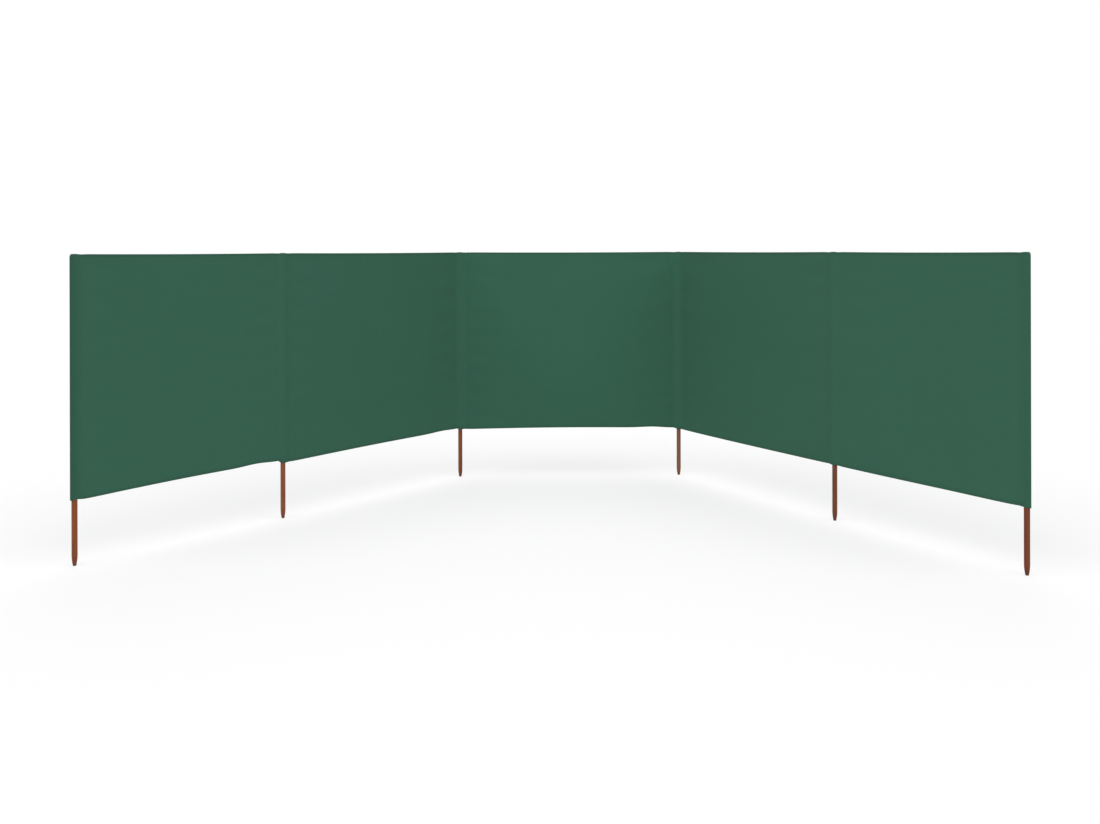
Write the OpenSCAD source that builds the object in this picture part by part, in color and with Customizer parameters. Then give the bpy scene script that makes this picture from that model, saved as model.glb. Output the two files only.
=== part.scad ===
// Beach windbreak: five bays of cloth hung on six round wooden poles that stand in a bent line.
// The origin is the centre of pole 3's flat foot. +Z is up, +X runs along the centre bay from
// pole 3 to pole 4, and the sheltered side faces -Y. Poles and bays are numbered from -X to +X.

/* [Poles] */
// Length of a pole from its foot to its top
pole_len = 1200; // [900:10:1600]
// Diameter of a pole
pole_d = 22; // [18:1:36]
// Length of the rounded point at the foot of a pole
point_len = 42; // [20:1:80]
// Diameter of the flat end of the point
point_d = 12; // [6:1:16]
// Radius of the edge round the top of a pole
top_round = 3; // [1:0.5:4]
// Length of bare pole below the cloth
bare_len = 248; // [120:1:400]

/* [Bays] */
// Width of an inner bay from pole to pole
inner_bay_w = 1175; // [700:5:1600]
// Width of an end bay from pole to pole
end_bay_w = 980; // [700:5:1600]

/* [Plan] */
// Turn of the line at pole 2 in degrees, positive towards the sheltered side
turn_2 = -1; // [-75:1:75]
// Turn of the line at pole 3
turn_3 = 50; // [-75:1:75]
// Turn of the line at pole 4
turn_4 = 62; // [-75:1:75]
// Turn of the line at pole 5
turn_5 = -1; // [-75:1:75]

/* [Cloth] */
// Thickness of one layer of cloth
cloth_t = 0.6; // [0.3:0.1:1.5]
// Layers sewn together in a hem and beside a pocket
sewn_layers = 3; // [2:1:4]
// Depth of the turned hems
hem_h = 13; // [6:1:30]
// How far the top edge of a bay sags between its poles
top_sag = 3; // [0:0.5:30]
// How far the bottom edge of a bay rises between its poles
bottom_rise = 6; // [0:0.5:40]

/* [Pole pockets] */
// Slack all round between a pole and its pocket
pocket_ease = 1; // [0.5:0.1:4]
// How far the mouth of a pocket hangs below the bays' bottom corners
mouth_drop = 6; // [0:1:20]
// Width of the sewn strip at each side of a bay
strip_w = 24; // [10:1:60]
// Gap between a pocket and the bays that turn round it
turn_gap = 0.3; // [0.2:0.05:0.6]

/* [Hidden] */
pole_r = pole_d / 2;
point_r = point_d / 2;
// The point is a tangent arc, so its radius follows from its length and its narrowing
point_arc_r = (point_len ^ 2 + (pole_r - point_r) ^ 2) / (2 * (pole_r - point_r));
pocket_r = pole_r + pocket_ease + cloth_t;
pocket_top = pole_len + cloth_t;
sewn_t = sewn_layers * cloth_t;
// A bay starts and ends this far from its poles' axes
bay_inset = pocket_r + turn_gap;
// Straight stretches along a sagging edge
edge_steps = 12;
// How far a cutting shape runs past the face that it opens
cut_past = 1;

bay_w = [end_bay_w, inner_bay_w, inner_bay_w, inner_bay_w, end_bay_w];
bay_heading = [turn_3 + turn_2, turn_3, 0, -turn_4, -turn_4 - turn_5];
bays = len(bay_w);
poles = bays + 1;
// Each pole stands a bay's width from the next, and pole 3 stands on the origin
bay_step = [for (i = [0 : bays - 1]) bay_w[i] * [cos(bay_heading[i]), sin(bay_heading[i])]];
pole_xy = [
    -bay_step[1] - bay_step[0],
    -bay_step[1],
    [0, 0],
    bay_step[2],
    bay_step[2] + bay_step[3],
    bay_step[2] + bay_step[3] + bay_step[4],
];

wood = "#824A2B";
cloth = "#365D4D";
hem_cloth = "#2F5244";

// Heights of a bay's edges at a share u of the way across it
function sag_share(u) = 4 * u * (1 - u);
function top_edge(u) = pole_len - top_sag * sag_share(u);
function bottom_edge(u) = bare_len + mouth_drop + bottom_rise * sag_share(u);
function clear_w(n) = bay_w[n - 1] - 2 * bay_inset;
function across(n, u) = bay_inset + u * clear_w(n);

module at_pole(n) {
    translate([pole_xy[n - 1].x, pole_xy[n - 1].y, 0]) children();
}

// Stands a flat outline upright in the plane of a bay, with its thickness shared to both sides
module in_bay(n, thickness) {
    at_pole(n)
        rotate([90, 0, bay_heading[n - 1]])
            linear_extrude(thickness, center = true) children();
}

// Half section of a round bar between two heights, with a rounded top edge
module bar_section(r, foot, top, round) {
    translate([0, foot]) square([r, top - foot - round]);
    translate([0, foot]) square([r - round, top - foot]);
    translate([r - round, top - round]) circle(round, $fn = 48);
}

// Half section of the point, a tangent arc from the flat end up to the full radius
module point_section() {
    intersection() {
        square([pole_r, point_len]);
        translate([pole_r - point_arc_r, point_len]) circle(point_arc_r, $fn = 720);
    }
}

module pole(n) {
    color(wood) at_pole(n)
        rotate_extrude($fn = 64) {
            point_section();
            bar_section(pole_r, point_len, pole_len, top_round);
        }
}

// A sleeve round the pole that is open at its mouth and closed over the pole's top
module pole_pocket(n) {
    color(hem_cloth) at_pole(n)
        rotate_extrude($fn = 64) difference() {
            bar_section(pocket_r, bare_len, pocket_top, top_round + cloth_t);
            bar_section(pocket_r - cloth_t, bare_len - cut_past, pole_len, top_round);
        }
}

// Outline of the single cloth of a bay between its hems
module cloth_outline(n) {
    shares = [for (i = [0 : edge_steps]) i / edge_steps];
    polygon(concat(
        [for (u = shares) [across(n, u), bottom_edge(u) + hem_h]],
        [for (i = [edge_steps : -1 : 0]) [across(n, shares[i]), top_edge(shares[i]) - hem_h]]
    ));
}

// The strips at both sides of a bay that are sewn to its pockets
module side_strips(n) {
    for (left = [bay_inset, bay_w[n - 1] - bay_inset - strip_w])
        translate([left, 0]) square([strip_w, pole_len]);
}

module bay_cloth(n) {
    color(cloth) {
        in_bay(n, cloth_t) cloth_outline(n);
        in_bay(n, sewn_t) intersection() {
            cloth_outline(n);
            side_strips(n);
        }
    }
}

// A band that follows an edge of a bay, given the heights of its lower side
module hem_outline(n, lower) {
    shares = [for (i = [0 : edge_steps]) i / edge_steps];
    polygon(concat(
        [for (i = [0 : edge_steps]) [across(n, shares[i]), lower[i]]],
        [for (i = [edge_steps : -1 : 0]) [across(n, shares[i]), lower[i] + hem_h]]
    ));
}

module top_hem(n) {
    lower = [for (i = [0 : edge_steps]) top_edge(i / edge_steps) - hem_h];
    color(hem_cloth) in_bay(n, sewn_t) hem_outline(n, lower);
}

module bottom_hem(n) {
    lower = [for (i = [0 : edge_steps]) bottom_edge(i / edge_steps)];
    color(hem_cloth) in_bay(n, sewn_t) hem_outline(n, lower);
}

for (n = [1 : poles]) {
    pole(n);
    pole_pocket(n);
}

for (n = [1 : bays]) {
    bay_cloth(n);
    top_hem(n);
    bottom_hem(n);
}
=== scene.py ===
"""Looks of a beach windbreak: sewn green cloth on stained wooden poles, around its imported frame."""

import math

import bpy
import numpy as np
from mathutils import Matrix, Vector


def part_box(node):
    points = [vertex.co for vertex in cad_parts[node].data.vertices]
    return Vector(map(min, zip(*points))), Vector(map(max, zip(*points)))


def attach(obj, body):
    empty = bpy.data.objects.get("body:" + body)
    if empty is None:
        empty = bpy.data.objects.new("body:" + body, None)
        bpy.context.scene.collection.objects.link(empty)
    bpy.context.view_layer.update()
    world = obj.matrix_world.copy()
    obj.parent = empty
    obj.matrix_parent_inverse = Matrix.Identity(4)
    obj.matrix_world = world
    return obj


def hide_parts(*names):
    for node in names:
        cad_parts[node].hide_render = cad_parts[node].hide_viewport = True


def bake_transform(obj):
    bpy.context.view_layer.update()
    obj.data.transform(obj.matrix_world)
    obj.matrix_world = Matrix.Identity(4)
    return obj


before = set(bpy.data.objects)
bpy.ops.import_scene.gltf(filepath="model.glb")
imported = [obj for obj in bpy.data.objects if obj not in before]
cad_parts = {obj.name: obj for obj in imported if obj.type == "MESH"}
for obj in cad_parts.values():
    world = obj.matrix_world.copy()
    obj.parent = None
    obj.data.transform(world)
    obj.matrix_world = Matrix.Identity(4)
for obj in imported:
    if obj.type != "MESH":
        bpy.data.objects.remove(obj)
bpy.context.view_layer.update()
bpy.ops.object.select_all(action="DESELECT")

# All sizes are in metres. The poles' places, radius and height come from the frame.
POLES = 6
BAYS = POLES - 1

# Layers of cloth and their seams
CLOTH = 0.0006  # thickness of one layer
LAYER = 0.0008  # from one layer's middle to the next
SEAM = 0.037  # from a pole's axis to the seam beside it
LAP = 0.009  # cloth of a pocket's back strip beyond its seam
HEM = 0.013  # depth of a turned hem
HEM_FADE = 0.3  # share of that depth over which its painted shade fades
FOLD = 0.0009  # radius of a hem's fold
FOLD_PRESSED = 0.45  # share of that radius where a pocket is sewn over the fold
FOLD_OPENS = 0.03  # distance from the seam at which the fold has its full radius

# Stitching
STITCH_LENGTH = 0.0034
STITCH_PITCH = 0.0042
STITCH_INSET = 0.0025  # from a hem's inner edge or a pocket's seam to the stitching
THREAD = 0.0004  # radius of the thread
PINCH = 0.0004  # how far the thread pulls the cloth in along a seam
PINCH_REACH = 0.003
HEM_PUCKER_REACH = 0.012  # width of the gathered cloth beside a hem's stitching
SEAM_PUCKER_REACH = 0.016  # the same beside a pocket's stitching

# Pole pockets
POCKET_EASE = 0.0009  # from a pole's surface to the middle of the pocket's cloth
END_FOLD = 0.0165  # from an end pole's axis to the fold of its pocket
END_FOLD_REACH = 0.024  # distance over which the painted shade on that fold fades
END_CORNER = 0.8  # share of the pole's radius at which an end pocket's outer corner starts
END_CORNER_DROP = 0.007  # how far that corner hangs
CAP = 0.014  # height over which a pocket closes above its pole
CAP_RISE = 0.0014  # how far a pocket's top stands above its pole
CAP_SPREAD = 0.7  # share of the way to the seams over which the top falls to the bays' top edge
CAP_SQUARE = 0.35  # a low power makes the cap square-shouldered, like the end of the pole under it
FRONT_CLOSED = -0.2 * LAYER  # where a pocket's front and back layers meet in its closed top
BACK_CLOSED = -0.75 * LAYER
HEM_STEP = 0.003  # distance over which a back strip climbs over a hem
STRIP_CUT = 0.5  # how far up the cloth the back strips are cut from

# Painted shade on cloth where it is sewn in layers or folded
SEWN_SHADE_DEPTH = 0.13  # share of its tone that the painted shade takes away in a hem
STRIP_SHADE = 0.3  # the same for a pocket's back strip, where a hem is 1
END_FOLD_SHADE = (2.4, 1.3)  # and for the folds at the left and right ends

# Edges and slack of the bays
TOP_EDGE_DROP = 0.0005  # top edge of the cloth beside a pocket, below the pole's top
TOP_SAG = 0.0018  # sag of a bay's top edge
BELLY = 0.006  # how far the bottom of a bay is pushed back in its middle
BELLY_TOP = 0.6  # share of that at the top
SWAG = 0.0016  # depth of the broad waves in a bay's middle
SWAG_TURNS = (7.0, 5.0)  # radians of those waves over a bay's height and width
RIPPLE = 0.0011  # depth of the level ripples that start at a pocket
RIPPLE_PEAK = 0.06  # distance from the seam at which they are deepest
RIPPLE_TURNS = (50.0, 8.0)  # radians of the ripples in a metre up and across
RIPPLE_DRIFT = (3.0, 4.3)  # radians by which they are uneven, and of that change in a metre up
CREASE = 0.0018  # depth of the crease that falls from a top corner
CREASE_REACH = 0.05
CREASE_START = 0.04  # where it starts and how far it leans, as shares of the bay's width
CREASE_LEAN = 0.36
CREASE_VARIES = 0.06  # how much that lean differs from corner to corner
BAY_PHASE = 1.7  # radians by which the waves differ from one bay to the next
SIDE_PHASE = 2.1  # and from one side of a bay to the other
FORWARD_REACH = 0.2  # distance over which the cloth falls back beside a pocket

# How far the taut cloth comes in front of each pole's axis at the seams beside it. At a corner it
# stays level with the axis, because it turns towards the sheltered side there anyway.
SEAM_FORWARD = (0.0055, 0.0065, 0.0, 0.0, 0.0065, 0.0055)
# Lift of each bay's bottom edge above the pockets' mouths, at its left, middle and right
BOTTOM_LIFT = (
    (0.004, 0.0125, 0.015),
    (0.004, 0.0075, 0.011),
    (0.006, 0.0105, 0.006),
    (0.001, -0.002, 0.003),
    (0.002, 0.000, 0.006),
)
# How far each bay's bottom edge is drawn up beside its right pole, at a distance from the pole
DRAWN_UP = (0.006, 0.004, 0.005, 0.0, 0.0)
DRAWN_UP_AT = 0.14
DRAWN_UP_REACH = 0.08
# Lift of each pocket's mouth at its pole
MOUTH_LIFT = (0.0085, 0.0035, 0.006, 0.0, 0.0015, 0.006)

BAY_BODIES = ("left_end_bay", "left_inner_bay", "centre_bay", "right_inner_bay", "right_end_bay")


def pole_axis(k):
    low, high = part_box(f"pole_{k}")
    return np.array([(low.x + high.x) / 2, (low.y + high.y) / 2])


AXES = [pole_axis(k) for k in range(1, POLES + 1)]
POLE_LOW, POLE_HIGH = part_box("pole_3")
POLE_R = (POLE_HIGH.x - POLE_LOW.x) / 2
POLE_TOP = POLE_HIGH.z
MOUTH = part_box("pole_pocket_3")[0].z
TOP_EDGE = POLE_TOP - TOP_EDGE_DROP
POCKET_R = POLE_R + POCKET_EASE
STEPS = [AXES[n + 1] - AXES[n] for n in range(BAYS)]
WIDTHS = [float(np.hypot(*s)) for s in STEPS]
HEADINGS = [math.atan2(s[1], s[0]) for s in STEPS]
# Width of each bay between its seams
CLEAR = [w - 2 * SEAM for w in WIDTHS]
# Length along the whole cloth at which each bay starts, so that its pattern runs on
STARTS = [sum(WIDTHS[:n]) for n in range(BAYS)]


def smooth(t):
    """A soft step from 0 to 1."""
    t = np.clip(t, 0, 1)
    return t * t * (3 - 2 * t)


def near(distance, reach):
    """1 at a line such as a seam, falling to 0 over its reach."""
    return np.exp(-((distance / reach) ** 2))


def bow(share):
    """A curve that is 0 at both ends and 1 in the middle."""
    return 4 * share * (1 - share)


def placed(axis, heading, along, front, z):
    """Points at a distance along a heading from an axis and in front of it, on the sheltered side."""
    along, front, z, heading = np.broadcast_arrays(along, front, z, heading)
    x = axis[0] + along * np.cos(heading) + front * np.sin(heading)
    y = axis[1] + along * np.sin(heading) - front * np.cos(heading)
    return np.stack([x, y, z], -1)


def in_bay(n, along, front, z):
    """Points of bay n, counted from 0, at a distance along from its left pole."""
    return placed(AXES[n], HEADINGS[n], along, front, z)


def round_pole(k, along, front, z):
    """Points beside pole k, counted from 0, where the cloth turns from one bay's heading to the next."""
    before = HEADINGS[max(k - 1, 0)]
    after = HEADINGS[min(k, BAYS - 1)]
    heading = before + (after - before) * smooth((along + SEAM) / (2 * SEAM))
    return placed(AXES[k], heading, along, front, z)


def facing(n):
    """The way out of a bay's cloth on the sheltered side."""
    return np.array([math.sin(HEADINGS[n]), -math.cos(HEADINGS[n]), 0.0])


def to_seam(n, along):
    """Distance from the nearer seam of a bay."""
    return np.minimum(along - SEAM, WIDTHS[n] - SEAM - along)


def top_edge(n, along):
    return TOP_EDGE - TOP_SAG * bow((along - SEAM) / CLEAR[n])


def bottom_edge(n, along):
    share = (along - SEAM) / CLEAR[n]
    left, middle, right = BOTTOM_LIFT[n]
    lift = left + (right - left) * share + (middle - (left + right) / 2) * bow(share)
    return MOUTH + lift + DRAWN_UP[n] * near(WIDTHS[n] - along - DRAWN_UP_AT, DRAWN_UP_REACH)


def slack(n, along, z):
    """How far the cloth of a bay stands in front of the plane of its poles."""
    share = np.clip((along - SEAM) / CLEAR[n], 0, 1)
    height = (z - MOUTH) / (TOP_EDGE - MOUTH)
    phase = BAY_PHASE * n
    belly = -BELLY * (1 - (1 - BELLY_TOP) * height)
    swags = SWAG * np.sin(SWAG_TURNS[0] * height + SWAG_TURNS[1] * share + phase)
    front = np.sin(np.pi * share) ** 2 * (belly + swags)
    sides = ((n, share * CLEAR[n], phase), (n + 1, (1 - share) * CLEAR[n], phase + SIDE_PHASE))
    for k, from_seam, turn in sides:
        front = front + SEAM_FORWARD[k] * near(from_seam, FORWARD_REACH)
        # Uneven level ripples start at each pocket and fade out across the bay
        drift = RIPPLE_DRIFT[0] * np.sin(RIPPLE_DRIFT[1] * z + turn)
        wave = np.sin(RIPPLE_TURNS[0] * z + drift + RIPPLE_TURNS[1] * from_seam + turn)
        start = from_seam / RIPPLE_PEAK
        front = front + RIPPLE * wave * start * np.exp(1 - start)
        # A shallow crease falls from each top corner towards the middle of the bottom hem
        lean = CREASE_LEAN + CREASE_VARIES * math.sin(turn)
        crease = from_seam - CLEAR[n] * (CREASE_START + lean * (1 - height))
        fade = np.sin(np.pi * np.clip(1.05 - height, 0, 1))
        front = front + CREASE * near(crease, CREASE_REACH) * fade
    return front


def graded(length, edge, step, first, growth=1.45):
    """Places from 0 to length, close together near both ends and at most a step apart between."""
    ends = [0.0]
    gap = first
    while ends[-1] < edge:
        ends.append(ends[-1] + gap)
        gap = min(gap * growth, step)
    ends = np.array(ends)
    count = max(2, math.ceil((length - 2 * ends[-1]) / step))
    middle = np.linspace(ends[-1], length - ends[-1], count + 1)[1:-1]
    return np.concatenate([ends, middle, length - ends[::-1]])


def bay_columns(n):
    return SEAM + graded(CLEAR[n], edge=0.03, step=0.012, first=0.0015)


def cloth_from_grid(name, points, uv, sewn=0.0, hem_pucker=0.0, seam_pucker=0.0):
    """A sheet from a grid of points with rows and columns, given its thickness. The last three say
    where layers are sewn together, which gets painted shade, and where level and upright
    stitching gathers the cloth."""
    rows, columns = points.shape[:2]
    bpy.ops.object.select_all(action="DESELECT")
    bpy.ops.mesh.primitive_grid_add(x_subdivisions=columns - 1, y_subdivisions=rows - 1, size=1)
    sheet = bpy.context.object
    sheet.name = sheet.data.name = name
    mesh = sheet.data
    mesh.vertices.foreach_set("co", points.reshape(-1).astype(np.float32))
    corners = np.empty(len(mesh.loops), np.int32)
    mesh.loops.foreach_get("vertex_index", corners)
    corner_uv = uv.reshape(-1, 2)[corners].reshape(-1).astype(np.float32)
    mesh.uv_layers[0].name = "UVMap"
    mesh.uv_layers[0].data.foreach_set("uv", corner_uv)
    for mark, values in (("sewn", sewn), ("hem_pucker", hem_pucker), ("seam_pucker", seam_pucker)):
        values = np.broadcast_to(values, (rows, columns)).reshape(-1).astype(np.float32)
        mesh.attributes.new(mark, "FLOAT", "POINT").data.foreach_set("value", values)
    mesh.update()
    thicken = sheet.modifiers.new("thickness", "SOLIDIFY")
    thicken.thickness = CLOTH
    thicken.offset = 0
    bpy.ops.object.modifier_apply(modifier=thicken.name)
    bpy.ops.object.mode_set(mode="EDIT")
    bpy.ops.mesh.select_all(action="SELECT")
    bpy.ops.mesh.normals_make_consistent(inside=False)
    bpy.ops.object.mode_set(mode="OBJECT")
    bpy.ops.object.shade_smooth_by_angle(angle=math.radians(50))
    return sheet


def hemmed(from_edge):
    """1 in the depth of a hem along an edge and 0 past it."""
    return smooth(((1 + HEM_FADE / 2) * HEM - from_edge) / (HEM_FADE * HEM))


def bay_sheet(n):
    """The single cloth of a bay from seam to seam, with its pulled-in seams and stitched hems."""
    share = graded(1.0, edge=0.04, step=0.02, first=0.002)
    along, share = np.meshgrid(bay_columns(n), share)
    low, high = bottom_edge(n, along), top_edge(n, along)
    z = low + share * (high - low)
    from_seam = to_seam(n, along)
    from_edge = np.minimum(z - low, high - z)
    from_stitches = from_edge - HEM + STITCH_INSET
    pinch = PINCH * (near(from_seam, PINCH_REACH) + near(from_stitches, PINCH_REACH))
    points = in_bay(n, along, slack(n, along, z) - pinch, z)
    uv = np.stack([STARTS[n] + along, z], -1)
    # The hems get painted shade
    return cloth_from_grid(
        f"bay_sheet_{n + 1}", points, uv, hemmed(from_edge),
        near(from_stitches, HEM_PUCKER_REACH), near(from_seam, SEAM_PUCKER_REACH),
    )


def hem_fold(n, along):
    """Radius of a hem's fold, which is pressed flat where a pocket is sewn over it."""
    return FOLD * (FOLD_PRESSED + (1 - FOLD_PRESSED) * smooth(to_seam(n, along) / FOLD_OPENS))


def hem_band(n, side):
    """The part of a bay's edge that is turned to the back: over the fold, down and tucked under."""
    up = 1 if side == "top" else -1
    along = bay_columns(n)
    edge = top_edge(n, along) if side == "top" else bottom_edge(n, along)
    turn = np.radians([0, 30, 60, 90, 120, 150, 180])
    fold = hem_fold(n, along)
    # Seven rows go over the fold, and five go down behind it and in under the turned edge
    back = np.concatenate([np.cos(turn) - 1, [-2, -2, -2, -1.7, -1.1]])[:, None] * fold
    over = np.concatenate([np.sin(turn), [0] * 5])[:, None] * fold
    down = np.concatenate([0 * turn, [0.3, 0.6, 0.95, 1, 0.96]])[:, None] * HEM
    z = edge + up * (over - down)
    front = slack(n, along, edge) + back
    points = in_bay(n, np.broadcast_to(along, z.shape), front, z)
    uv = np.stack([np.broadcast_to(STARTS[n] + along, z.shape), z + 2 * up * HEM], -1)
    # The turned hem gets painted shade all over
    return cloth_from_grid(f"{side}_hem_band_{n + 1}", points, uv, sewn=1.0, hem_pucker=1.0)


def swell(along, reach):
    """Share of a pocket's full depth at a distance from the pole's axis."""
    return np.cos(np.pi / 2 * np.clip(along / reach, -1, 1)) ** 2


def pocket_front(k, along):
    """Depth of pole k's pocket in front of the pole's axis, from seam to seam."""
    return SEAM_FORWARD[k] + (POCKET_R - SEAM_FORWARD[k]) * swell(along, SEAM)


def pocket_back(k, along):
    """The same for the layer behind the pole, which is below 0 behind the axis."""
    lapped = SEAM_FORWARD[k] - LAYER
    return lapped - (POCKET_R + lapped) * swell(along, SEAM)


def pocket_heights(k, along):
    """Mouth and top of pole k's pocket at distances from the pole's axis."""
    left = bottom_edge(k - 1, WIDTHS[k - 1] - SEAM) if k > 0 else MOUTH
    right = bottom_edge(k, SEAM) if k < BAYS else MOUTH
    beside = np.where(along < 0, left, right)
    mouth = beside + (MOUTH + MOUTH_LIFT[k] - beside) * swell(along, SEAM)
    top = TOP_EDGE + (POLE_TOP + CAP_RISE - TOP_EDGE) * swell(along, SEAM * CAP_SPREAD)
    past_pole = {0: -along, BAYS: along}.get(k)
    if past_pole is not None:
        corner = END_CORNER * POLE_R
        top = top - END_CORNER_DROP * smooth((past_pole - corner) / (END_FOLD - corner))
    return mouth, top


def pocket_rows():
    """Share of the height below the cap, and the angle over the cap, for each row of a pocket."""
    below = graded(1.0, edge=0.03, step=0.03, first=0.003)
    over = np.radians([12, 24, 36, 48, 58, 66, 73, 79, 84, 88, 90])
    return (
        np.concatenate([below, np.ones(len(over))])[:, None],
        np.concatenate([np.zeros(len(below)), over])[:, None],
    )


def in_hem(low, high, z):
    """1 where a pocket's back strip lies over the bays' hems and 0 between them."""
    return smooth((z - high + HEM) / HEM_STEP + 1) + smooth((low + HEM - z) / HEM_STEP + 1)


def pocket_layer(k, along, depth, flat):
    """Points of a pocket's cloth over a pole, where depth is its full depth at each column and flat
    is where it lies when it is closed, counted from the seams. Where it is hemmed, and so gets
    painted shade, is given too."""
    share, angle = pocket_rows()
    mouth, top = pocket_heights(k, along)
    shoulder = top - CAP
    flat = flat + SEAM_FORWARD[k]
    over_cap = shoulder + CAP * np.sin(angle) ** CAP_SQUARE
    z = np.where(angle > 0, over_cap, mouth + share * (shoulder - mouth))
    front = flat + (depth - flat) * np.abs(np.cos(angle)) ** CAP_SQUARE
    lapped = smooth((np.abs(along) - SEAM) / HEM_STEP + 1) * (depth < flat)
    front = front - PINCH * near(SEAM - np.abs(along), PINCH_REACH) - FOLD * in_hem(mouth, top, z) * lapped
    return np.broadcast_arrays(along[None, :], front, z), hemmed(np.minimum(z - mouth, top - z))


def run_length(along, depth):
    """Lengths along the cloth across a pocket's section, from its first column to each one."""
    return np.concatenate([[0.0], np.cumsum(np.hypot(np.diff(along), np.diff(depth)))])


def gathered(along):
    """1 at a pocket's seams, falling to 0 beside them."""
    return near(SEAM - np.abs(along), SEAM_PUCKER_REACH)


def join(name, parts):
    bpy.ops.object.select_all(action="DESELECT")
    for part in parts:
        part.select_set(True)
    bpy.context.view_layer.objects.active = parts[0]
    bpy.ops.object.join()
    parts[0].name = parts[0].data.name = name
    return parts[0]


def inner_pocket(k):
    """A pocket between two bays: the main cloth in front of the pole and a strip sewn on behind it.
    The width of cloth in it is given too."""
    across = np.linspace(-SEAM, SEAM, 41)
    half_lap, lap = SEAM + LAP / 2, SEAM + LAP
    front_depth = pocket_front(k, across)
    shape, sewn = pocket_layer(k, across, front_depth, FRONT_CLOSED)
    uv = np.stack([STARTS[k] + shape[0], shape[2]], -1)
    front = cloth_from_grid("front", round_pole(k, *shape), uv, sewn, 0.0, gathered(across))
    lapped = np.concatenate([[-lap, -half_lap], across, [half_lap, lap]])
    back_depth = pocket_back(k, lapped)
    shape, sewn = pocket_layer(k, lapped, back_depth, BACK_CLOSED)
    uv = np.stack([STARTS[k] + shape[0], shape[2] + STRIP_CUT], -1)
    # The back strip gets painted shade all over, deeper in its hems
    sewn = np.maximum(sewn, STRIP_SHADE)
    back = cloth_from_grid("back", round_pole(k, *shape), uv, sewn, 0.0, gathered(lapped))
    wide = run_length(across, front_depth)[-1] + run_length(lapped, back_depth)[-1]
    return join(f"pocket_sleeve_{k + 1}", [front, back]), float(wide)


def end_pocket(k):
    """A pocket at an end of the cloth, which is folded round the pole and sewn down behind the bay.
    The width of cloth in it is given too."""
    inward = 1 if k == 0 else -1
    turn = np.linspace(0, np.pi, 25)
    run = np.linspace(SEAM, 0, 21)
    run_in, run_out = run[:-1], run[::-1][1:]
    along = np.concatenate([run_in, -END_FOLD * np.sin(turn), run_out, [SEAM + LAP / 2, SEAM + LAP]])
    lapped = np.full(2, SEAM_FORWARD[k] - LAYER)
    fold = POCKET_R * np.cos(turn)
    depth = np.concatenate([pocket_front(k, run_in), fold, pocket_back(k, run_out), lapped])
    in_front = np.arange(len(along)) < len(run) + len(turn) // 2
    flat = np.where(in_front, FRONT_CLOSED, BACK_CLOSED)
    shape, sewn = pocket_layer(k, along * inward, depth, flat)
    start = STARTS[0] if k == 0 else STARTS[-1] + WIDTHS[-1]
    lengths = run_length(along, depth)
    uv = np.stack([np.broadcast_to(start + lengths, shape[2].shape), shape[2]], -1)
    # The end's fold gets painted shade that fades away from it
    from_fold = lengths - lengths[len(run_in) + len(turn) // 2]
    darker = END_FOLD_SHADE[0 if k == 0 else 1]
    sewn = np.maximum(sewn, darker * near(from_fold, END_FOLD_REACH))
    name = f"pocket_sleeve_{k + 1}"
    sleeve = cloth_from_grid(name, round_pole(k, *shape), uv, sewn, 0.0, gathered(along))
    return sleeve, float(lengths[-1])


def thread_bead():
    """One stitch lying along X with its back towards Z, as points and triangles."""
    bpy.ops.object.select_all(action="DESELECT")
    bpy.ops.mesh.primitive_uv_sphere_add(segments=6, ring_count=5, radius=1.0)
    bead = bpy.context.object
    bpy.ops.object.mode_set(mode="EDIT")
    bpy.ops.transform.rotate(value=math.pi / 2, orient_axis="Y", center_override=(0, 0, 0))
    bpy.ops.transform.resize(value=(STITCH_LENGTH / 2, THREAD, THREAD))
    bpy.ops.mesh.quads_convert_to_tris()
    bpy.ops.object.mode_set(mode="OBJECT")
    points = np.array([v.co for v in bead.data.vertices])
    faces = np.array([p.vertices for p in bead.data.polygons])
    bpy.data.objects.remove(bead)
    return points, faces


BEAD_POINTS, BEAD_FACES = thread_bead()


def stitched(name, rows):
    """Rows of stitches joined in one mesh. A row is a function that gives points at distances along
    it, another that gives the way out of the cloth there, and its length."""
    points, faces = [], []
    for place, outward, length in rows:
        at = np.arange(STITCH_PITCH, length, STITCH_PITCH)
        along = place(at + THREAD) - place(at - THREAD)
        along /= np.linalg.norm(along, axis=1)[:, None]
        out = outward(at)
        turns = np.stack([along, np.cross(out, along), out], 1)
        for middle, turn in zip(place(at), turns):
            faces.append(BEAD_FACES + len(points) * len(BEAD_POINTS))
            points.append(middle + BEAD_POINTS @ turn)
    mesh = bpy.data.meshes.new(name)
    mesh.from_pydata(np.concatenate(points).tolist(), [], np.concatenate(faces).tolist())
    stitches = bpy.data.objects.new(name, mesh)
    bpy.context.scene.collection.objects.link(stitches)
    mesh.shade_smooth()
    return stitches


def flat_row(place, out, length):
    """A row of stitches on cloth that faces one way."""
    return place, lambda at: np.broadcast_to(out, (len(at), 3)), length


def hem_row(n, side, out):
    """The stitches along a bay's hem, on the front of the cloth where out is 1, or else on the back."""
    edge, up = (top_edge, -1) if side == "top" else (bottom_edge, 1)

    def place(at):
        along = SEAM + at
        z = edge(n, along) + up * (HEM - STITCH_INSET)
        depth = CLOTH / 2 - PINCH if out > 0 else -2 * hem_fold(n, along) - CLOTH / 2
        return in_bay(n, along, slack(n, along, z) + depth, z)

    return flat_row(place, out * facing(n), CLEAR[n])


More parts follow.
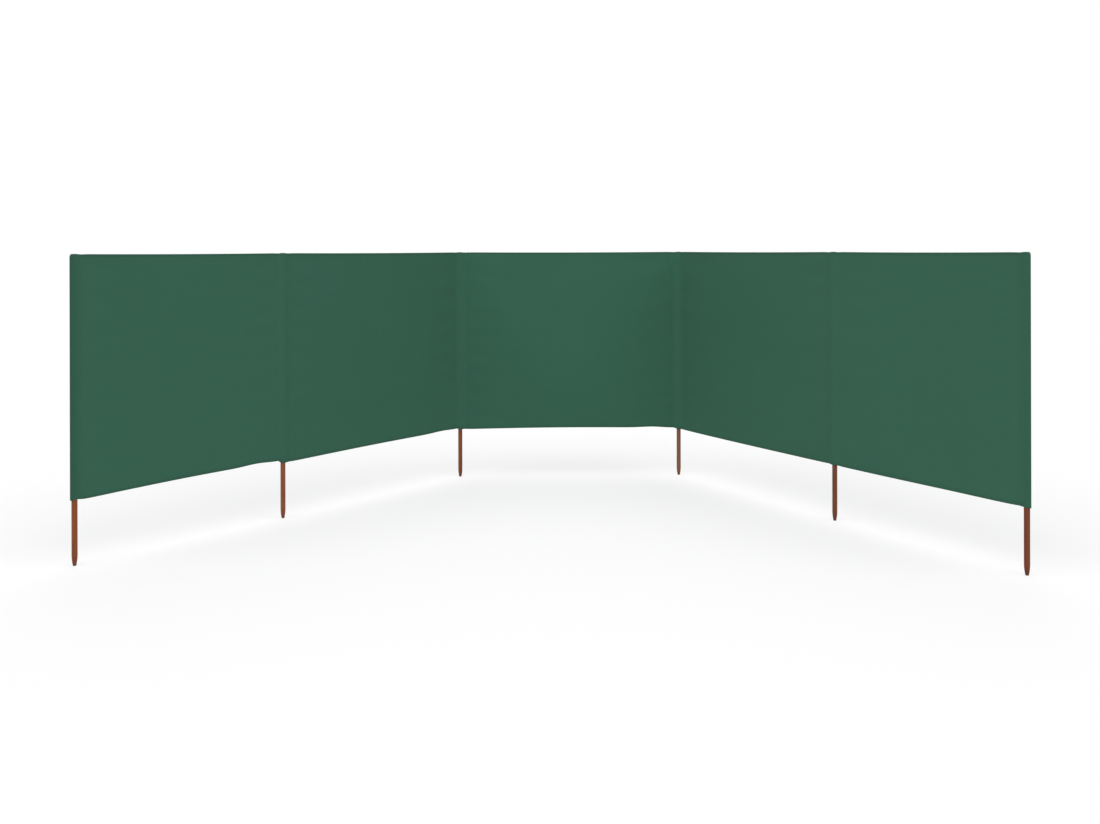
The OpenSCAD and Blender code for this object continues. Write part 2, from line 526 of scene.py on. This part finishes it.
def seam_row(k, side, out):
    """The stitches beside a pole, to its left where side is -1 and to its right where it is 1."""
    along = side * (SEAM + STITCH_INSET)
    bay = k if side > 0 else k - 1
    in_sheet = along if side > 0 else WIDTHS[bay] + along
    mouth = float(bottom_edge(bay, SEAM if side > 0 else WIDTHS[bay] - SEAM))

    def place(at):
        z = mouth + at
        behind = -LAYER - CLOTH / 2 - FOLD * in_hem(mouth, TOP_EDGE, z)
        depth = CLOTH / 2 - PINCH / 2 if out > 0 else behind
        return round_pole(k, np.full(len(at), along), slack(bay, in_sheet, z) + depth, z)

    return flat_row(place, out * facing(bay), TOP_EDGE - mouth)


def pocket_hem_row(k, side, out):
    """The stitches round a pocket's mouth or under its closed top, which follow the pole's curve."""
    start = -SEAM if k > 0 else -END_CORNER * POLE_R
    end = SEAM if k < BAYS else END_CORNER * POLE_R
    layer = pocket_front if out > 0 else pocket_back

    def place(at):
        along = start + at
        mouth, top = pocket_heights(k, along)
        z = top - HEM + STITCH_INSET if side == "top" else mouth + HEM - STITCH_INSET
        return round_pole(k, along, layer(k, along) + out * CLOTH / 2, z)

    def outward(at):
        along = place(at + THREAD) - place(at - THREAD)
        away = np.cross(along, (0.0, 0.0, -out))
        return away / np.linalg.norm(away, axis=1)[:, None]

    return place, outward, end - start


def hem_stitching(n):
    """Rows of stitches in a bay's hems, each on the front and on the back of the cloth."""
    rows = [hem_row(n, side, out) for side in ("top", "bottom") for out in (1, -1)]
    return stitched(f"hem_stitching_{n + 1}", rows)


def pocket_stitching(k):
    """Rows of stitches that close a pocket beside its pole and hem its ends, on front and back."""
    sides = [side for side, bay in ((-1, k - 1), (1, k)) if 0 <= bay < BAYS]
    rows = [seam_row(k, side, out) for side in sides for out in (1, -1)]
    rows += [pocket_hem_row(k, side, out) for side in ("mouth", "top") for out in (1, -1)]
    return stitched(f"pocket_stitching_{k + 1}", rows)


def srgb(*levels):
    """A linear colour from levels of 0 to 255 as they look on a screen."""
    shares = [v / 255 for v in levels]
    return (*[s / 12.92 if s <= 0.04045 else ((s + 0.055) / 1.055) ** 2.4 for s in shares], 1.0)


class Nodes:
    """Short ways to add and link nodes in one tree."""

    def __init__(self, tree):
        self.tree = tree
        tree.nodes.clear()

    def feed(self, node, inputs):
        """Link each input to another node's output, or set its value."""
        for key, value in inputs.items():
            if isinstance(value, bpy.types.NodeSocket):
                self.tree.links.new(value, node.inputs[key])
            else:
                node.inputs[key].default_value = value

    def add(self, kind, inputs=None, **settings):
        node = self.tree.nodes.new(kind)
        for key, value in settings.items():
            setattr(node, key, value)
        self.feed(node, inputs or {})
        return node

    def group(self, tree, **inputs):
        return self.add("ShaderNodeGroup", inputs, node_tree=tree).outputs

    def maths(self, operation, a, b=0.0):
        return self.add("ShaderNodeMath", {0: a, 1: b}, operation=operation).outputs[0]

    def spread(self, value, base, amount):
        """A base with a share of a value added."""
        return self.maths("ADD", base, self.maths("MULTIPLY", value, amount))

    def product(self, first, *others):
        for other in others:
            first = self.maths("MULTIPLY", first, other)
        return first

    def tinted(self, colour, tone):
        return self.add("ShaderNodeVectorMath", {0: colour[:3], 3: tone}, operation="SCALE").outputs[0]

    def mix(self, share, a, b):
        return self.add("ShaderNodeMix", {0: share, 6: a, 7: b}, data_type="RGBA").outputs[2]

    def ranged(self, value, low, high, to_low=0.0, to_high=1.0, **settings):
        """A value moved from one range to another and kept inside it."""
        inputs = {0: value, 1: low, 2: high, 3: to_low, 4: to_high}
        return self.add("ShaderNodeMapRange", inputs, **settings).outputs[0]

    def noise(self, place, stretch, detail):
        """Noise over coordinates that are stretched by a factor along each axis."""
        drawn = self.add("ShaderNodeVectorMath", {0: place, 1: stretch}, operation="MULTIPLY").outputs[0]
        return self.add("ShaderNodeTexNoise", {"Vector": drawn, "Scale": 1.0, "Detail": detail}).outputs[0]

    def seen_directly(self):
        """1 for what the camera sees, straight or in a reflection, and 0 for light on the object."""
        ray = self.add("ShaderNodeLightPath").outputs
        mirrored = self.maths("MAXIMUM", ray["Is Glossy Ray"], ray["Is Transmission Ray"])
        return self.maths("MAXIMUM", ray["Is Camera Ray"], mirrored)


def shader_group(name, inputs, outputs):
    """A new group with a Place input and others that are values with defaults, and its outputs."""
    tree = bpy.data.node_groups.new(name, "ShaderNodeTree")
    tree.interface.new_socket("Place", in_out="INPUT", socket_type="NodeSocketVector")
    for label, default in inputs.items():
        socket = tree.interface.new_socket(label, in_out="INPUT", socket_type="NodeSocketFloat")
        socket.default_value = default
    for label in outputs:
        tree.interface.new_socket(label, in_out="OUTPUT", socket_type="NodeSocketFloat")
    nodes = Nodes(tree)
    return nodes, nodes.add("NodeGroupInput").outputs


def plain_weave():
    """Threads that pass over and under each other, from coordinates in metres along the cloth."""
    nodes, given = shader_group("plain_weave", {"Threads": 1500.0}, ["Height", "Shade"])
    scale = {0: given["Place"], 3: given["Threads"]}
    scaled = nodes.add("ShaderNodeVectorMath", scale, operation="SCALE").outputs[0]
    split = nodes.add("ShaderNodeSeparateXYZ", {0: scaled}).outputs
    warp_wave = nodes.maths("SINE", nodes.maths("MULTIPLY", split[0], math.pi))
    weft_wave = nodes.maths("SINE", nodes.maths("MULTIPLY", split[1], math.pi))
    over = nodes.maths("GREATER_THAN", nodes.maths("MULTIPLY", warp_wave, weft_wave), 0.0)
    under = nodes.maths("SUBTRACT", 1.0, over)
    warp = nodes.maths("MULTIPLY", nodes.maths("ABSOLUTE", warp_wave), over)
    weft = nodes.maths("MULTIPLY", nodes.maths("ABSOLUTE", weft_wave), under)
    slubs = nodes.noise(given["Place"], (9.0, 420.0, 1.0), 2.0)
    runs = nodes.noise(given["Place"], (420.0, 9.0, 1.0), 2.0)
    shade = nodes.maths("MULTIPLY", nodes.maths("ADD", slubs, runs), 0.5)
    nodes.add("NodeGroupOutput", {"Height": nodes.maths("ADD", warp, weft), "Shade": shade})
    return nodes.tree


def soft_mottle():
    """Slow and small changes of tone over a surface, as a value about 1."""
    nodes, given = shader_group("soft_mottle", {"Scale": 3.0, "Amount": 0.06}, ["Tone"])
    clouds = {"Vector": given["Place"], "Scale": given["Scale"], "Detail": 3.0}
    cloud = nodes.add("ShaderNodeTexNoise", clouds).outputs[0]
    tone = nodes.spread(nodes.maths("SUBTRACT", cloud, 0.5), 1.0, given["Amount"])
    nodes.add("NodeGroupOutput", {"Tone": tone})
    return nodes.tree


def seam_pucker():
    """Small ripples across level and upright stitching, as a height."""
    nodes, given = shader_group("seam_pucker", {"Hem": 0.0, "Seam": 0.0}, ["Height"])
    level = nodes.maths("MULTIPLY", nodes.noise(given["Place"], (95.0, 16.0, 1.0), 1.0), given["Hem"])
    upright = nodes.maths("MULTIPLY", nodes.noise(given["Place"], (16.0, 95.0, 1.0), 1.0), given["Seam"])
    nodes.add("NodeGroupOutput", {"Height": nodes.maths("ADD", level, upright)})
    return nodes.tree


def wood_grain():
    """Grain that runs up a pole: fine dark lines and broad bands."""
    nodes, given = shader_group("wood_grain", {}, ["Lines", "Bands"])
    lines = nodes.noise(given["Place"], (520.0, 520.0, 9.0), 4.0)
    bands = nodes.noise(given["Place"], (95.0, 95.0, 2.2), 2.0)
    nodes.add("NodeGroupOutput", {"Lines": lines, "Bands": bands})
    return nodes.tree


WEAVE = plain_weave()
MOTTLE = soft_mottle()
PUCKER = seam_pucker()
GRAIN = wood_grain()

GREEN = srgb(54, 98, 80)
GREEN_THREAD = srgb(52, 95, 77)
# The stain of each pole, from left to right
STAINS = (
    srgb(128, 69, 37),
    srgb(129, 72, 42),
    srgb(120, 65, 37),
    srgb(124, 81, 60),
    srgb(108, 59, 35),
    srgb(114, 56, 32),
)
DARK_GRAIN = 0.42  # tone of the grain lines and the pale bands, as shares of the stain
PALE_GRAIN = 1.28
FOOT_HEIGHT = 0.05  # height of the darker wood at a pole's foot


def new_material(name):
    material = bpy.data.materials.new(name)
    material.use_nodes = True
    nodes = Nodes(material.node_tree)
    surface = nodes.add("ShaderNodeBsdfPrincipled")
    nodes.add("ShaderNodeOutputMaterial", {"Surface": surface.outputs[0]})
    return material, nodes, surface


def cloth_material(name):
    """Matt woven cloth with painted shade in its sewn layers, its folds and between its threads."""
    material, nodes, surface = new_material(name)
    place = nodes.add("ShaderNodeUVMap", uv_map="UVMap").outputs[0]
    sewn, hem, seam = [
        nodes.add("ShaderNodeAttribute", attribute_name=mark).outputs["Fac"]
        for mark in ("sewn", "hem_pucker", "seam_pucker")
    ]
    weave = nodes.group(WEAVE, Place=place)
    mottle = nodes.group(MOTTLE, Place=place)
    pucker = nodes.group(PUCKER, Place=place, Hem=hem, Seam=seam)
    # Painted shade where layers are sewn or folded
    sewn_shade = nodes.spread(sewn, 1.0, -SEWN_SHADE_DEPTH)
    thread_tone = nodes.spread(weave["Shade"], 0.9, 0.2)
    # Painted shade in the gaps between the threads
    gap_shade = nodes.spread(weave["Height"], 0.86, 0.22)
    tone = nodes.product(mottle["Tone"], sewn_shade, thread_tone, gap_shade)
    ripples = {"Strength": 0.6, "Distance": 0.0016, "Height": pucker["Height"]}
    rippled = nodes.add("ShaderNodeBump", ripples).outputs[0]
    threads = {"Strength": 0.25, "Distance": 0.0002, "Height": weave["Height"], "Normal": rippled}
    nodes.feed(surface, {
        "Base Color": nodes.tinted(GREEN, tone),
        "Roughness": nodes.spread(weave["Height"], 0.74, 0.12),
        "Normal": nodes.add("ShaderNodeBump", threads).outputs[0],
        "Specular IOR Level": 0.12,
        "Sheen Weight": 0.03,
        "Sheen Roughness": 0.5,
    })
    return material


def thread_material(name):
    """Spun thread in the cloth's colour."""
    material, nodes, surface = new_material(name)
    place = nodes.add("ShaderNodeTexCoord").outputs["Object"]
    mottle = nodes.group(MOTTLE, Place=place, Scale=900.0, Amount=0.35)
    nodes.feed(surface, {"Base Color": nodes.tinted(GREEN_THREAD, mottle["Tone"]), "Roughness": 0.5})
    return material


def pole_material(k):
    """Brown stained softwood with pale bands, dark grain lines and a darker foot."""
    material, nodes, surface = new_material(f"stained_wood_{k + 1}")
    stain = STAINS[k]
    dark = (*[DARK_GRAIN * c for c in stain[:3]], 1.0)
    pale = (*[PALE_GRAIN * c for c in stain[:3]], 1.0)
    place = nodes.add("ShaderNodeTexCoord").outputs["Object"]
    # Each pole is cut from another part of the grain
    shift = (0.31 * k, 0.17 * k, 0.43 * k)
    moved = nodes.add("ShaderNodeMapping", {"Vector": place, "Location": shift}).outputs[0]
    grain = nodes.group(GRAIN, Place=moved)
    lines = nodes.ranged(grain["Lines"], 0.42, 0.66)
    bands = nodes.ranged(grain["Bands"], 0.3, 0.7)
    height = nodes.add("ShaderNodeSeparateXYZ", {0: place}).outputs[2]
    foot = nodes.ranged(height, 0.0, FOOT_HEIGHT, 1.0, 0.0, interpolation_type="SMOOTHSTEP")
    colour = nodes.mix(bands, stain, pale)
    colour = nodes.mix(nodes.maths("MULTIPLY", lines, 0.6), colour, dark)
    colour = nodes.mix(nodes.maths("MULTIPLY", foot, 0.45), colour, dark)
    grooves = {"Strength": 0.35, "Distance": 0.0004, "Height": grain["Lines"]}
    nodes.feed(surface, {
        "Base Color": colour,
        "Roughness": nodes.spread(lines, 0.42, 0.22),
        "Normal": nodes.add("ShaderNodeBump", grooves, invert=True).outputs[0],
        "Specular IOR Level": 0.25,
    })
    return material


def dress(piece, material):
    piece.data.materials.clear()
    piece.data.materials.append(material)


def build_bay(n, bay_cloth, sewn_cloth, thread):
    """A bay's sheet with its hems and their stitching, which all ride on the bay."""
    sheet = bay_sheet(n)
    bands = {side: hem_band(n, side) for side in ("top", "bottom")}
    stitching = hem_stitching(n)
    dress(sheet, bay_cloth)
    dress(stitching, thread)
    for side, band in bands.items():
        dress(band, sewn_cloth)
        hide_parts(f"{side}_hem_{n + 1}")
    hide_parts(f"bay_cloth_{n + 1}")
    hems = [*bands.values(), stitching]
    for piece in (sheet, *hems):
        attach(piece, BAY_BODIES[n])


def build_pocket(k, sewn_cloth, thread):
    """A pole's pocket and its stitching. An inner one keeps its place, with its transform baked into
    its mesh, and an end one rides on its bay."""
    inner = 0 < k < BAYS
    sleeve, wide = inner_pocket(k) if inner else end_pocket(k)
    stitching = pocket_stitching(k)
    dress(sleeve, sewn_cloth)
    dress(stitching, thread)
    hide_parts(f"pole_pocket_{k + 1}")
    for piece in (sleeve, stitching):
        if inner:
            start = round_pole(k, -SEAM, 0.0, MOUTH).tolist()
            end = round_pole(k, SEAM, 0.0, MOUTH).tolist()
            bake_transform(piece)
        else:
            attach(piece, BAY_BODIES[0 if k == 0 else -1])


def build_cloth():
    bay_cloth = cloth_material("green_bay_cloth")
    sewn_cloth = cloth_material("green_sewn_cloth")
    thread = thread_material("green_thread")
    for n in range(BAYS):
        build_bay(n, bay_cloth, sewn_cloth, thread)
    for k in range(POLES):
        build_pocket(k, sewn_cloth, thread)


def stain_poles():
    for k in range(POLES):
        dress(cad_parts[f"pole_{k + 1}"], pole_material(k))


FLOOR_BOUNCE = 0.63  # how much light the floor throws back onto the cloth
FLOOR_SEEN = 0.32  # how much of the light on the floor is seen, which sets the depth of the shadow
FLOOR_GLOW = 0.605  # white that is added to the floor as it is seen
EVEN_LIGHT = 0.55  # light from all round, where 1 is white
# Wide soft lamps: the side each stands on, its turn from the front and lean from overhead in
# degrees, and its energy
LAMPS = (("left", -52, 40, 1.15), ("right", 52, 40, 1.0), ("front", 0, 55, 0.3), ("back", 180, 45, 0.6))
LAMP_ANGLE = 50


def lay_floor():
    """A white floor that keeps a soft shadow."""
    bpy.ops.object.select_all(action="DESELECT")
    bpy.ops.mesh.primitive_plane_add(size=400, location=(0, 0, 0))
    floor = bpy.context.object
    floor.name = "floor"
    material = bpy.data.materials.new("white_floor")
    material.use_nodes = True
    nodes = Nodes(material.node_tree)
    seen = nodes.seen_directly()
    level = nodes.spread(seen, FLOOR_BOUNCE, FLOOR_SEEN - FLOOR_BOUNCE)
    matt = nodes.add("ShaderNodeBsdfDiffuse", {"Color": level})
    glow = nodes.add("ShaderNodeEmission", {"Strength": nodes.maths("MULTIPLY", seen, FLOOR_GLOW)})
    both = nodes.add("ShaderNodeAddShader", {0: matt.outputs[0], 1: glow.outputs[0]})
    nodes.add("ShaderNodeOutputMaterial", {"Surface": both.outputs[0]})
    dress(floor, material)


def light_studio():
    """A white surround and wide lamps on all sides."""
    world = bpy.data.worlds.new("studio")
    bpy.context.scene.world = world
    world.use_nodes = True
    nodes = Nodes(world.node_tree)
    strength = nodes.spread(nodes.seen_directly(), EVEN_LIGHT, 1 - EVEN_LIGHT)
    white = {"Color": (1.0, 1.0, 1.0, 1.0), "Strength": strength}
    surround = nodes.add("ShaderNodeBackground", white)
    nodes.add("ShaderNodeOutputWorld", {"Surface": surround.outputs[0]})
    for side, turn, lean, energy in LAMPS:
        tilt = (math.radians(lean), 0, math.radians(turn))
        bpy.ops.object.light_add(type="SUN", location=(0, -3, 5), rotation=tilt)
        lamp = bpy.context.object
        lamp.name = f"soft_{side}_light"
        lamp.data.energy = energy
        lamp.data.angle = math.radians(LAMP_ANGLE)


def place_camera():
    """A level camera at the photograph's place, with its frame moved down to take in the feet."""
    frame_width, frame_height = 1100, 824
    focal_pixels = 1114.1
    horizon_row = 249.76
    camera = bpy.data.cameras.new("camera")
    camera.sensor_width = 36.0
    camera.lens = camera.sensor_width * focal_pixels / frame_width
    camera.shift_y = (horizon_row - frame_height / 2) / frame_width
    camera.clip_end = 1000
    eye = bpy.data.objects.new("camera", camera)
    bpy.context.scene.collection.objects.link(eye)
    eye.location = (0.3173, -5.9839, 1.2134)
    eye.rotation_euler = (math.radians(90), math.radians(0.13), math.radians(-1.591))
    bpy.context.scene.camera = eye


bpy.context.scene.view_settings.view_transform = "Standard"
place_camera()
lay_floor()
light_studio()
build_cloth()
stain_poles()
